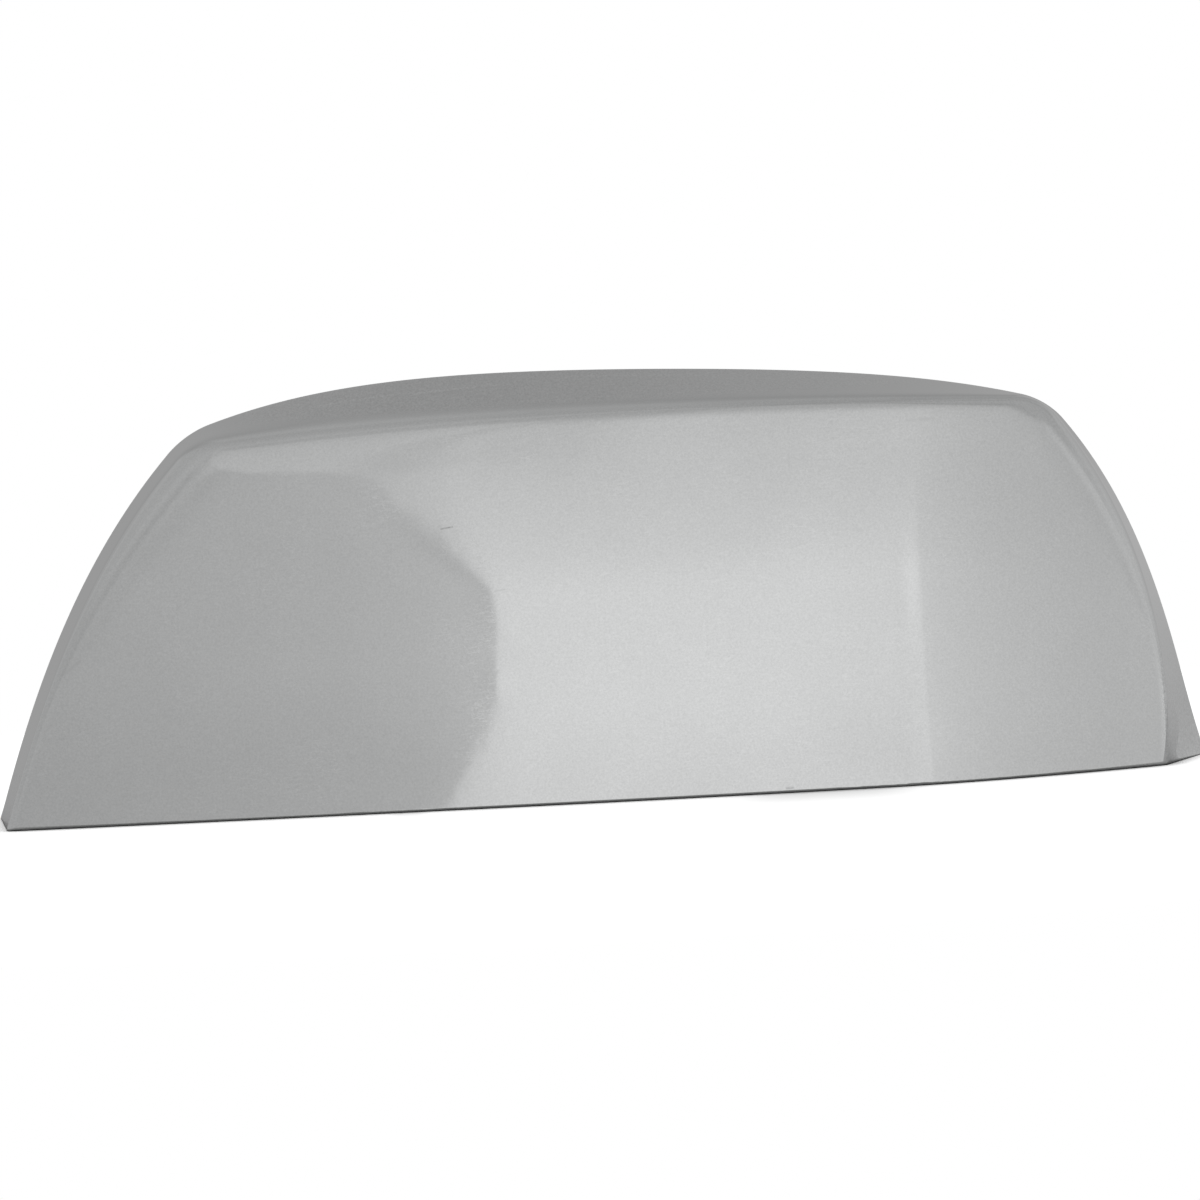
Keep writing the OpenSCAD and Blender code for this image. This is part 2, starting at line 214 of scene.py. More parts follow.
class Term:
    """A socket of a node tree that can be used in a formula like a number or a vector."""

    def __init__(self, tree, socket):
        self.tree, self.socket = tree, socket

    def is_vector(self):
        return self.socket.type == "VECTOR"

    def _pair(self, scalar_op, vector_op, other, swap=False):
        both = (other, self) if swap else (self, other)
        if self.is_vector() or (isinstance(other, Term) and other.is_vector()):
            return calc_vector(self.tree, vector_op, *both)
        return calc(self.tree, scalar_op, *both)

    def __add__(self, other):
        return self._pair("ADD", "ADD", other)

    def __radd__(self, other):
        return self._pair("ADD", "ADD", other, swap=True)

    def __sub__(self, other):
        return self._pair("SUBTRACT", "SUBTRACT", other)

    def __rsub__(self, other):
        return self._pair("SUBTRACT", "SUBTRACT", other, swap=True)

    def __mul__(self, other):
        if self.is_vector():
            return scaled(self, other)
        if isinstance(other, Term) and other.is_vector():
            return scaled(other, self)
        return calc(self.tree, "MULTIPLY", self, other)

    __rmul__ = __mul__

    def __truediv__(self, other):
        return calc(self.tree, "DIVIDE", self, other)

    def __rtruediv__(self, other):
        return calc(self.tree, "DIVIDE", other, self)

    def __pow__(self, other):
        return calc(self.tree, "POWER", self, other)


def feed(tree, socket, value):
    """Links a term to a socket, or sets the socket to a number or vector."""
    if isinstance(value, Term):
        tree.links.new(value.socket, socket)
    else:
        socket.default_value = value


def calc(tree, operation, *values):
    node = tree.nodes.new("ShaderNodeMath")
    node.operation = operation
    for socket, value in zip(node.inputs, values):
        feed(tree, socket, value)
    return Term(tree, node.outputs[0])


def calc_vector(tree, operation, *values):
    node = tree.nodes.new("ShaderNodeVectorMath")
    node.operation = operation
    for socket, value in zip(node.inputs, values):
        feed(tree, socket, value)
    gives_number = operation in {"DOT_PRODUCT", "LENGTH", "DISTANCE"}
    return Term(tree, node.outputs["Value" if gives_number else "Vector"])


def scaled(vector, factor):
    node = vector.tree.nodes.new("ShaderNodeVectorMath")
    node.operation = "SCALE"
    feed(vector.tree, node.inputs["Vector"], vector)
    feed(vector.tree, node.inputs["Scale"], factor)
    return Term(vector.tree, node.outputs["Vector"])


def unit(vector):
    return calc_vector(vector.tree, "NORMALIZE", vector)


def least(a, b):
    return calc(a.tree, "MINIMUM", a, b)


def most(a, b):
    return calc(a.tree, "MAXIMUM", a, b)


def root_of(a):
    return calc(a.tree, "SQRT", a)


def clamped(a):
    return least(most(a, 0.0), 1.0)


def smooth(a):
    """Soft step from 0 to 1 while the term goes from 0 to 1."""
    c = clamped(a)
    return c * c * (3.0 - 2.0 * c)


def bell(a):
    """1 where the term is 0, falling to 0 as it grows."""
    return calc(a.tree, "EXPONENT", 0.0 - a)


def mixed(a, b, factor):
    """Blend from a to b, for numbers or vectors."""
    tree = factor.tree
    vector = any(isinstance(v, Term) and v.is_vector() for v in (a, b))
    node = tree.nodes.new("ShaderNodeMix")
    node.data_type = "VECTOR" if vector else "FLOAT"
    first = 4 if vector else 2
    feed(tree, node.inputs[0], factor)
    feed(tree, node.inputs[first], a)
    feed(tree, node.inputs[first + 1], b)
    return Term(tree, node.outputs[1 if vector else 0])


def parts_of(vector):
    node = vector.tree.nodes.new("ShaderNodeSeparateXYZ")
    feed(vector.tree, node.inputs[0], vector)
    return [Term(vector.tree, s) for s in node.outputs]


def joined(tree, x, y, z):
    node = tree.nodes.new("ShaderNodeCombineXYZ")
    for socket, value in zip(node.inputs, (x, y, z)):
        feed(tree, socket, value)
    return Term(tree, node.outputs[0])


def new_tree(name, inputs, outputs):
    """A geometry node group with these sockets, its input node's terms and its output node."""
    tree = bpy.data.node_groups.new(name, "GeometryNodeTree")
    for label, kind in inputs:
        tree.interface.new_socket(label, in_out="INPUT", socket_type=kind)
    for label, kind in outputs:
        tree.interface.new_socket(label, in_out="OUTPUT", socket_type=kind)
    source = tree.nodes.new("NodeGroupInput")
    given = {label: Term(tree, source.outputs[label]) for label, _ in inputs}
    return tree, given, tree.nodes.new("NodeGroupOutput")


def attribute(tree, name, kind):
    node = tree.nodes.new("GeometryNodeInputNamedAttribute")
    node.data_type = kind
    node.inputs["Name"].default_value = name
    return Term(tree, node.outputs["Attribute"])


def call_group(tree, group, **values):
    """Uses one of the groups in a tree; underscores in a name stand for spaces."""
    node = tree.nodes.new("GeometryNodeGroup")
    node.node_tree = group
    for name, value in values.items():
        feed(tree, node.inputs[name.replace("_", " ")], value)
    return Term(tree, node.outputs[0])


def set_inputs(modifier, values):
    """Sets a node modifier's inputs by their sockets' identifiers."""
    for item in modifier.node_group.interface.items_tree:
        if item.in_out == "INPUT" and item.name in values:
            modifier[item.identifier] = values[item.name]


def lay_out(tree):
    """Puts the nodes in rows, so that the tree can be read."""
    for i, node in enumerate(tree.nodes):
        node.location = (220 * (i % 14), -260 * (i // 14))


# ---------------------------------------------------------------- meshes


def settle(obj):
    """Turns what an object's modifiers make into its plain mesh, and removes them."""
    evaluated = obj.evaluated_get(bpy.context.evaluated_depsgraph_get())
    made = bpy.data.meshes.new_from_object(evaluated)
    obj.modifiers.clear()
    obj.data = made
    made.name = obj.name
    for name in [a.name for a in made.attributes if not a.is_internal and not a.is_required]:
        if name not in {"sharp_edge", "sharp_face", "material_index"}:
            made.attributes.remove(made.attributes[name])
    return obj


def add_object(name, mesh):
    obj = bpy.data.objects.new(name, mesh)
    bpy.context.scene.collection.objects.link(obj)
    return obj


def smooth_edges(mesh, angle):
    """Shades a mesh smooth, with an edge kept sharp where its faces turn by more."""
    work = bmesh.new()
    work.from_mesh(mesh)
    for face in work.faces:
        face.smooth = True
    for edge in work.edges:
        edge.smooth = len(edge.link_faces) == 2 and edge.calc_face_angle() < angle
    work.to_mesh(mesh)
    work.free()


def keep_piece(obj):
    """Hangs a finished piece on the body that it rides on and hides the imported part it takes the place of.
    """
    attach(obj, BODY)
    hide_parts(NODE)


# ---------------------------------------------------------------- the shell


def side_point(side, t):
    """Point of a bowed side of an outline at share t of its length, as (x, z)."""
    start, end, bow, skew, full = side
    along = end - start
    out = Vector((-along.y, along.x)).normalized()
    w = 1 - 2 * t
    return start + along * t + out * (bow * 4 * t * (1 - t) * (1 + skew * w + full * w * w))


def side_direction(side, t):
    step = 1e-5
    return (side_point(side, t + step) - side_point(side, t - step)).normalized()


def corner_share(side, reach):
    return reach / (side[1] - side[0]).length


def corner_points(a, b, reach, handle, steps):
    """Rounded corner between the end of side a and the start of side b."""
    at_a, at_b = 1 - corner_share(a, reach), corner_share(b, reach)
    p0, p3 = side_point(a, at_a), side_point(b, at_b)
    da, db = side_direction(a, at_a), side_direction(b, at_b)
    gap = p3 - p0
    turn = da.cross(db)
    p1 = p0 + da * (gap.cross(db) / turn * handle)
    p2 = p3 + db * (gap.cross(da) / turn * handle)
    points = []
    for i in range(steps + 1):
        t = i / steps
        s = 1 - t
        points.append(p0 * s**3 + p1 * (3 * t * s * s) + p2 * (3 * t * t * s) + p3 * t**3)
    return points


def outline(sides, o, crowd=1.7):
    """Whole outline from the lower left end, over the top, to the lower right end."""
    left, top, right = sides
    reach = o.corner_round
    up = 1 - corner_share(left, reach)
    t0, t1 = corner_share(top, reach), 1 - corner_share(top, reach)
    down = corner_share(right, reach)
    points = [side_point(left, up * (i / o.side_steps) ** crowd) for i in range(o.side_steps)]
    points += corner_points(left, top, reach, o.handle, o.corner_steps)
    points += [
        side_point(top, t0 + (t1 - t0) * i / o.top_steps) for i in range(1, o.top_steps)
    ]
    points += corner_points(top, right, reach, o.handle, o.corner_steps)
    points += [
        side_point(right, 1 - (1 - down) * (1 - i / o.side_steps) ** crowd)
        for i in range(1, o.side_steps + 1)
    ]
    return points


def rim_points(o, a, b, c, end_x):
    """The rim, with the foot of its right side drawn in round a corner."""
    points = outline([
        (a, b, o.left_bow, o.left_skew, 0),
        (b, c, o.crown_rise, o.top_skew, o.top_full),
        (c, Vector((end_x, 0)), o.right_bow, o.right_skew, 0),
    ], o)
    r = o.foot_round
    for point in points:
        if point.x > 0 and point.y < r:
            point.x -= r - math.sqrt(r * r - (r - max(point.y, 0)) ** 2)
    return points


def outlines(o):
    """The rim and the front outline, point by point."""
    half = o.rim_w / 2
    a, d = Vector((-half, 0)), Vector((half, 0))
    b = Vector((-half + o.left_corner_in, o.left_corner_h))
    c = Vector((half - o.right_corner_in, o.right_corner_h))
    fa, fd = a + Vector((o.left_draft, 0)), d - Vector((o.right_draft, 0))
    fb, fc = Vector((b.x + o.left_draft, o.bend_h)), Vector((c.x - o.corner_draft, o.bend_h))
    end_x = half
    for _ in range(3):
        end_x += half - max(p.x for p in rim_points(o, a, b, c, end_x))
    front = [
        (fa, fb, o.left_bow, o.left_skew, 0),
        (fb, fc, o.front_top_bow, 0, 0),
        (fc, fd, o.front_right_bow, 0, 0),
    ]
    return rim_points(o, a, b, c, end_x), outline(front, o)


def row_places():
    """Where the rows of the shell lie: 0 to 1 the wall, 1 to 2 the bend, 2 to 3 the face."""
    close = [0.0, 0.0012, 0.003, 0.0055, 0.0085, 0.013]
    wall = [0.03 + 0.97 * i / 11 for i in range(11)]
    bend = [1 + i / 22 for i in range(22)]
    face = [2 + 0.985 * i / 52 for i in range(52)]
    above = (0.025, 0.0185, 0.013, 0.0095, 0.0061, 0.0045, 0.003, 0.0016, 0.0006, 0.0)
    low = [3 - c for c in above]
    return close + wall + bend + face + low


SECTION_LABELS = {
    "depth": "Depth", "rim_w": "Rim width", "bend_h": "Bend height", "nose_x": "Nose",
    "left_sweep": "Left sweep", "right_sweep": "Right sweep", "left_power": "Left power",
    "right_power": "Right power", "nose_blend": "Nose blend", "face_lean": "Face lean",
    "face_bulge": "Face bulge", "left_bend": "Left bend", "roof_bend": "Roof bend",
    "foot_bend": "Foot bend", "bend_run": "Bend run", "roof_from": "Roof from",
    "bend_from": "Bend from",
    "left_heel": "Left heel", "right_heel": "Right heel", "wall": "Wall", "edge_r": "Edge radius",
    "slope_step": "Slope step",
}
SECTION_INPUTS = [(label, "NodeSocketFloat") for label in SECTION_LABELS.values()]

# Shallow dents and swellings of the face, in millimetres: X, Z, radius and height
DENTS = [
    (-20.5, 44.5, 4.0, 0.05), (-19.2, 37.5, 4.5, 0.04), (-26.0, 50.0, 4.5, 0.035),
    (-19.8, 26.5, 3.5, 0.035), (68.3, 3.0, 5.5, 0.06), (64.0, 40.0, 6.0, -0.03),
    (100.5, 55.0, 7.0, -0.05), (-62.0, 62.0, 9.0, -0.04), (12.0, 68.0, 11.0, 0.03),
]


def face_depth_group():
    """Group that gives the depth of the outside of the face at X and Z."""
    tree, given, out = new_tree(
        "Face depth",
        [("X", "NodeSocketFloat"), ("Z", "NodeSocketFloat"), *SECTION_INPUTS],
        [("Depth", "NodeSocketFloat")],
    )
    half = given["Rim width"] * 0.5
    blend = given["Nose blend"]

    def flank(u, power):
        low = blend**power
        high = (1.0 + blend * blend) ** (power * 0.5)
        return ((u * u + blend * blend) ** (power * 0.5) - low) / (high - low)

    left = most(given["Nose"] - given["X"], 0.0) / (given["Nose"] + half)
    right = most(given["X"] - given["Nose"], 0.0) / (half - given["Nose"])
    up = given["Z"] / given["Bend height"]
    y = (
        given["Face lean"] * up + given["Face bulge"] * up * up - given["Depth"] * 0.5
        + given["Left sweep"] * flank(left, given["Left power"])
        + given["Right sweep"] * flank(right, given["Right power"])
    )
    feed(tree, out.inputs[0], y)
    lay_out(tree)
    return tree


def section_group(face_depth):
    """Group that gives a point of the shell: its column, its place along it and its inset."""
    tree, given, out = new_tree(
        "Section point",
        [
            ("Rim", "NodeSocketVector"), ("Front", "NodeSocketVector"),
            ("Hub", "NodeSocketVector"), ("Along", "NodeSocketFloat"),
            ("Inset", "NodeSocketFloat"), *SECTION_INPUTS,
        ],
        [("Point", "NodeSocketVector")],
    )
    sizes = {label.replace(" ", "_"): given[label] for label in SECTION_LABELS.values()}
    inset, hub, along = given["Inset"], given["Hub"], given["Along"]

    def on_face(point):
        x, _, z = parts_of(point)
        return joined(tree, x, call_group(tree, face_depth, X=x, Z=z, **sizes) + inset, z)

    r = given["Rim"] + unit(hub - given["Rim"]) * inset
    f = given["Front"] + unit(hub - given["Front"]) * inset
    g = unit(hub - f)
    front_x, _, front_z = parts_of(given["Front"])
    along_top = smooth((front_x - given["Roof from"]) / given["Bend run"])
    up_side = smooth((front_z - given["Bend from"]) / (given["Bend height"] - given["Bend from"]))
    top_bend = mixed(given["Left bend"], given["Roof bend"], along_top)
    bend = mixed(given["Foot bend"], top_bend, up_side) - inset * 0.8
    right_side = calc(tree, "GREATER_THAN", parts_of(given["Rim"])[0], 0.0)
    heel = mixed(given["Left heel"], given["Right heel"], right_side)
    under = most(heel - parts_of(given["Rim"])[2], 0.0)
    rim_y = given["Depth"] * 0.5 - heel + root_of(heel * heel - under * under)
    rx, _, rz = parts_of(r)
    back = joined(tree, rx, rim_y, rz)
    edge = on_face(f)
    start = edge + unit(back - edge) * bend
    q = f + g * bend
    end = on_face(q)
    step = g * given["Slope step"]
    rise = (on_face(q + step) - on_face(q - step)) * (0.5 / given["Slope step"])
    edge2 = end - rise * bend
    curve = [start, (start + edge) * 0.5, edge, edge2, (end + edge2) * 0.5, end]
    turn = clamped(along - 1.0)
    while len(curve) > 1:
        curve = [mixed(a, b, turn) for a, b in zip(curve, curve[1:])]
    wall = mixed(back, start, clamped(along))
    face = on_face(mixed(q, hub, clamped(along - 2.0)))
    past_wall = calc(tree, "GREATER_THAN", along, 1.0)
    past_bend = calc(tree, "GREATER_THAN", along, 2.0)
    feed(tree, out.inputs[0], mixed(mixed(wall, curve[0], past_wall), face, past_bend))
    lay_out(tree)
    return tree


def shell_tree(section):
    """The shell's own tree: places the laid grid, rounds its edges and gives it its finish."""
    tree, given, out = new_tree(
        "Cover shell",
        [
            ("Geometry", "NodeSocketGeometry"), *SECTION_INPUTS,
            ("Outer finish", "NodeSocketMaterial"), ("Inner finish", "NodeSocketMaterial"),
        ],
        [("Geometry", "NodeSocketGeometry")],
    )
    sizes = {label.replace(" ", "_"): given[label] for label in SECTION_LABELS.values()}
    column = {n.capitalize(): attribute(tree, n, "FLOAT_VECTOR") for n in ("rim", "front", "hub")}
    along = attribute(tree, "along", "FLOAT")
    inner = attribute(tree, "inner", "FLOAT")
    inset = given["Wall"] * inner

    def rounded(distance):
        """How far a skin draws in at this distance from an edge."""
        radius = given["Edge radius"]
        over = most(radius - distance, 0.0)
        return radius - root_of(radius * radius - over * over)

    plain = call_group(tree, section, Along=along, Inset=inset, **column, **sizes)
    rim_end = call_group(tree, section, Along=0.0, Inset=inset, **column, **sizes)
    from_rim = mixed(
        calc_vector(tree, "DISTANCE", plain, rim_end), 1.0, calc(tree, "GREATER_THAN", along, 1.0)
    )
    drawn = most(rounded(from_rim), rounded(parts_of(plain)[2]))
    place = call_group(
        tree, section, Along=along, Inset=inset + drawn * (1.0 - 2.0 * inner), **column, **sizes
    )
    px, py, pz = parts_of(place)
    swell = 0.0
    for x, z, radius, height in DENTS:
        dx, dz = (px - x * MM) / (radius * MM), (pz - z * MM) / (radius * MM)
        swell = bell(dx * dx + dz * dz) * (height * MM) + swell
    on_face = smooth(along - 2.0) * (1.0 - inner)
    place = joined(tree, px, py - swell * on_face, pz)
    move = tree.nodes.new("GeometryNodeSetPosition")
    feed(tree, move.inputs["Geometry"], given["Geometry"])
    feed(tree, move.inputs["Position"], place)
    shade = tree.nodes.new("GeometryNodeSetShadeSmooth")
    feed(tree, shade.inputs["Geometry"], Term(tree, move.outputs[0]))
    real = tree.nodes.new("GeometryNodeRealizeInstances")
    feed(tree, real.inputs["Geometry"], Term(tree, shade.outputs[0]))
    skin = Term(tree, real.outputs[0])
    for label, chosen in (
        ("Outer finish", calc(tree, "LESS_THAN", inner, 0.9)),
        ("Inner finish", calc(tree, "GREATER_THAN", inner, 0.9)),
    ):
        coat = tree.nodes.new("GeometryNodeSetMaterial")
        feed(tree, coat.inputs["Geometry"], skin)
        feed(tree, coat.inputs["Selection"], chosen)
        feed(tree, coat.inputs["Material"], given[label])
        skin = Term(tree, coat.outputs[0])
    feed(tree, out.inputs[0], skin)
    lay_out(tree)
    return tree


def shell_grid(o, hub_x, hub_half):
    """Closed grid of the shell, two skins stitched along every edge, with each point's column."""
    rim, front = outlines(o)
    places = row_places()
    columns, rows = len(rim), len(places)
    mesh = bpy.data.meshes.new("shell_grid")
    faces = []

    def at(skin, i, j):
        return (skin * columns + i) * rows + j

    last, end = rows - 1, columns - 1
    for i in range(end):
        for j in range(last):
            faces.append((at(0, i, j), at(0, i + 1, j), at(0, i + 1, j + 1), at(0, i, j + 1)))
            faces.append((at(1, i, j), at(1, i, j + 1), at(1, i + 1, j + 1), at(1, i + 1, j)))
        faces.append((at(0, i, 0), at(1, i, 0), at(1, i + 1, 0), at(0, i + 1, 0)))
        faces.append((at(0, i, last), at(0, i + 1, last), at(1, i + 1, last), at(1, i, last)))
    for j in range(last):
        faces.append((at(0, 0, j), at(0, 0, j + 1), at(1, 0, j + 1), at(1, 0, j)))
        faces.append((at(0, end, j), at(1, end, j), at(1, end, j + 1), at(0, end, j + 1)))
    mesh.from_pydata([(0, 0, 0)] * (2 * columns * rows), [], faces)
    values = {"rim": [], "front": [], "hub": [], "along": [], "inner": []}
    for skin in (0, 1):
        for i in range(columns):
            hub = hub_x + hub_half * (2 * i / end - 1)
            for place in places:
                values["rim"] += [rim[i].x, 0, rim[i].y]
                values["front"] += [front[i].x, 0, front[i].y]
                values["hub"] += [hub, 0, 0]
                values["along"].append(place)
                values["inner"].append(skin)
    for name, numbers in values.items():
        kind, field = (
            ("FLOAT", "value") if name in {"along", "inner"} else ("FLOAT_VECTOR", "vector")
        )
        mesh.attributes.new(name, kind, "POINT").data.foreach_set(field, numbers)
    return mesh


class COVER_OT_shell(bpy.types.Operator):
    """Builds the plated shell from the rim over the bend and down the face"""

    bl_idname = "cover.shell"
    bl_label = "Build the shell"

    def execute(self, context):
        section = context.scene.cover_section
        hub_half = section.rim_w / 4
        obj = add_object("mirror_cover_shell", shell_grid(context.scene.cover_outline, 8 * MM, hub_half))
        modifier = obj.modifiers.new("Shell", "NODES")
        modifier.node_group = shell_tree(section_group(face_depth_group()))
        values = {label: getattr(section, name) for name, label in SECTION_LABELS.items()}
        values["Outer finish"] = bright_plating(context.scene.cover_finish)
        values["Inner finish"] = inner_plating(context.scene.cover_finish)
        set_inputs(modifier, values)
        settle(obj)
        if not obj.data.polygons:
            raise RuntimeError("the shell came out empty")
        keep_piece(obj)
        return {"FINISHED"}


# ---------------------------------------------------------------- what is moulded inside


# Ways from the hollow to the wall that a fitting stands on, how far back a ray towards it
# starts, and a length past which nothing on a fitting lies
FACE_WAY = (0.0, -1.0, 0.0)
ROOF_WAY = (0.0, 0.0, 1.0)
START_BACK = 40 * MM
FAR = 1e3


def prism(work, profile, axis, span, steps=1):
    """Adds a closed bar: a profile in the two other axes, drawn along an axis in steps."""
    others = [k for k in range(3) if k != axis]
    rings = []
    for i in range(steps + 1):
        ring = []
        for point in profile:
            place = [0.0, 0.0, 0.0]
            place[axis] = span[0] + (span[1] - span[0]) * i / steps
            place[others[0]], place[others[1]] = point
            ring.append(work.verts.new(place))
        rings.append(ring)
    count = len(profile)
    for lower, upper in zip(rings, rings[1:]):
        for k in range(count):
            n = (k + 1) % count
            work.faces.new((lower[k], lower[n], upper[n], upper[k]))
    work.faces.new(rings[0][::-1])
    work.faces.new(rings[-1])


def finish_template(work, name, radius, up_axis):
    """Rounds a template's edges and marks how far each point lies above its root."""
    bmesh.ops.recalc_face_normals(work, faces=work.faces)
    sharp = [e for e in work.edges if len(e.link_faces) == 2 and e.calc_face_angle() > 0.6]
    bmesh.ops.bevel(
        work, geom=sharp, offset=radius, segments=2, profile=0.5, affect="EDGES",
        clamp_overlap=True,
    )
    mesh = bpy.data.meshes.new(name)
    work.to_mesh(mesh)
    work.free()
    smooth_edges(mesh, math.radians(40))
    axis, sign = up_axis
    lift = mesh.attributes.new("lift", "FLOAT", "POINT")
    lift.data.foreach_set("value", [v.co[axis] * sign for v in mesh.vertices])
    return add_object(name, mesh)


def rooting_tree():
    """Sets copies of a template on points and roots each in the wall that it stands on."""
    tree, given, out = new_tree(
        "Root in the wall",
        [
            ("Geometry", "NodeSocketGeometry"), ("Template", "NodeSocketObject"),
            ("Shell", "NodeSocketObject"), ("Towards wall", "NodeSocketVector"),
            ("Start back", "NodeSocketFloat"), ("Root", "NodeSocketFloat"),
            ("Follow", "NodeSocketFloat"), ("Finish", "NodeSocketMaterial"),
        ],
        [("Geometry", "NodeSocketGeometry")],
    )

    def mesh_of(label):
        node = tree.nodes.new("GeometryNodeObjectInfo")
        feed(tree, node.inputs["Object"], given[label])
        return Term(tree, node.outputs["Geometry"])

    spread = tree.nodes.new("GeometryNodeInstanceOnPoints")
    feed(tree, spread.inputs["Points"], given["Geometry"])
    feed(tree, spread.inputs["Instance"], mesh_of("Template"))
    real = tree.nodes.new("GeometryNodeRealizeInstances")
    feed(tree, real.inputs["Geometry"], Term(tree, spread.outputs[0]))
    position = Term(tree, tree.nodes.new("GeometryNodeInputPosition").outputs[0])
    lift = attribute(tree, "lift", "FLOAT")
    towards = given["Towards wall"]
    ray = tree.nodes.new("GeometryNodeRaycast")
    feed(tree, ray.inputs["Target Geometry"], mesh_of("Shell"))
    feed(tree, ray.inputs["Source Position"], position - towards * given["Start back"])
    feed(tree, ray.inputs["Ray Direction"], towards)
    ray.inputs["Ray Length"].default_value = 0.2
    hit = Term(tree, ray.outputs["Hit Position"])
    short = calc_vector(tree, "DOT_PRODUCT", hit - position, towards) + given["Root"] - lift
    follow = 1.0 - clamped(lift / given["Follow"])
    struck = Term(tree, ray.outputs["Is Hit"])
    move = tree.nodes.new("GeometryNodeSetPosition")
    feed(tree, move.inputs["Geometry"], Term(tree, real.outputs[0]))
    feed(tree, move.inputs["Selection"], struck)
    feed(tree, move.inputs["Offset"], towards * (short * follow))
    again = tree.nodes.new("GeometryNodeRealizeInstances")
    feed(tree, again.inputs["Geometry"], Term(tree, move.outputs[0]))
    coat = tree.nodes.new("GeometryNodeSetMaterial")
    feed(tree, coat.inputs["Geometry"], Term(tree, again.outputs[0]))
    feed(tree, coat.inputs["Material"], given["Finish"])
    feed(tree, out.inputs[0], Term(tree, coat.outputs[0]))
    lay_out(tree)
    return tree


def rooted(name, points, template, towards, start_back, follow, context):
    """One object with the template set on the points and rooted in the shell's wall."""
    shell = bpy.data.objects.get("mirror_cover_shell")
    if shell is None:
        raise RuntimeError("the shell is built before what stands on it")
    mesh = bpy.data.meshes.new(name)
    mesh.from_pydata(points, [], [])
    obj = add_object(name, mesh)
    modifier = obj.modifiers.new("Root", "NODES")
    modifier.node_group = bpy.data.node_groups.get("Root in the wall") or rooting_tree()
    set_inputs(modifier, {
        "Template": template, "Shell": shell, "Towards wall": towards,
        "Start back": start_back, "Root": context.scene.cover_fittings.root,
        "Follow": follow, "Finish": inner_plating(context.scene.cover_finish),
    })
    settle(obj)
    bpy.data.objects.remove(template)
    return obj


def joined_pieces(name, objects):
    """Joins settled objects into one piece."""
    work = bmesh.new()
    for obj in objects:
        work.from_mesh(obj.data)
    mesh = bpy.data.meshes.new(name)
    work.to_mesh(mesh)
    work.free()
    mesh.materials.append(objects[0].data.materials[0])
    for obj in objects:
        bpy.data.objects.remove(obj)
    return add_object(name, mesh)


def free_edge(height, thick, radius):
    """Profile of a rib: rooted at 0, with its free edge rounded."""
    half = thick / 2
    return [
        (0, -half), (height - radius, -half), (height, radius - half),
        (height, half - radius), (height - radius, half), (0, half),
    ]


class COVER_OT_ribs(bpy.types.Operator):
    """Builds the two long ribs and the three upright ribs on the inside of the face"""

    bl_idname = "cover.ribs"
    bl_label = "Build the ribs"

    def execute(self, context):
        f, o = context.scene.cover_fittings, context.scene.cover_outline
        half = o.rim_w / 2
        tall = f.root + f.rib_h
        spans = [
            (f.low_rib_z, -half + o.left_draft + 10 * MM, half - o.right_draft - 10 * MM),
            (f.high_rib_z, -half + o.left_corner_in + o.left_draft + 5 * MM,
             half - o.right_corner_in - o.corner_draft),
        ]
        made = []
        for i, (z, x0, x1) in enumerate(spans):
            work = bmesh.new()
            prism(work, free_edge(tall, f.rib_t, f.edge_r), 0, (x0, x1), 64)
            template = finish_template(work, f"long_rib_{i}", f.edge_r / 2, (1, 1))
            made.append(
                rooted(f"long_{i}", [(0, 0, z)], template, FACE_WAY, START_BACK, FAR, context)
            )
        work = bmesh.new()
        profile = [(b, a) for a, b in free_edge(tall, f.rib_t, f.edge_r)]
        prism(work, profile, 2, (f.low_rib_z, f.high_rib_z), 20)
        template = finish_template(work, "upright_rib", f.edge_r / 2, (1, 1))
        points = [(s * f.pin_span / 2, 0, 0) for s in (-1, 0, 1)]
        made.append(rooted("upright", points, template, FACE_WAY, START_BACK, FAR, context))
        keep_piece(joined_pieces("stiffening_ribs", made))
        return {"FINISHED"}


def wall_at(x, y, z, towards):
    """Where a ray from this point meets the inside of the shell."""
    shell = bpy.data.objects.get("mirror_cover_shell")
    if shell is None:
        raise RuntimeError("the shell is built before what stands on it")
    found, place, _, _ = shell.ray_cast(Vector((x, y, z)), Vector(towards))
    if not found:
        raise RuntimeError(f"no wall stands behind the point {x:.3f}, {z:.3f}")
    return place


def pin_template(f, tall):
    """Pin with a rounded tip on a shouldered boss, with four tapered fins."""
    radius, reach = f.pin_d / 2, f.pin_d / 2 + f.fin_w
    shoulder = tall - f.pin_bare
    neck, fin_top = f.pin_d / 4, shoulder - f.boss_step
    foot, boss = f.root + f.fin_h, radius + f.boss_step
    count, tip = 48, 0.6 * MM
    levels = [(0, boss), (shoulder, boss), (shoulder, radius), (tall - tip, radius)]
    levels += [
        (tall - tip + tip * math.sin(a), radius - tip + tip * math.cos(a))
        for a in (math.radians(22.5 * k) for k in range(1, 5))
    ]
    work = bmesh.new()
    rings = [
        [
            work.verts.new((
                r * math.cos(2 * math.pi * k / count), y, r * math.sin(2 * math.pi * k / count)
            ))
            for k in range(count)
        ]
        for y, r in levels
    ]
    for lower, upper in zip(rings, rings[1:]):
        for k in range(count):
            n = (k + 1) % count
            work.faces.new((lower[k], lower[n], upper[n], upper[k]))
    work.faces.new(rings[0])
    work.faces.new(rings[-1])
    # A hair thinner than the upright rib, whose sides would otherwise share a plane with the fins'
    half = f.rib_t / 2 - 0.04 * MM
    fin = [
        (-reach, 0), (-reach / 2, 0), (0, 0), (reach / 2, 0), (reach, 0),
        (reach, foot), (neck, fin_top), (-neck, fin_top), (-reach, foot),
    ]
    prism(work, fin, 2, (-half, half))
    prism(work, [(y, z) for z, y in fin], 0, (-half, half))
    return finish_template(work, "pin", f.edge_r / 2, (1, 1)), foot


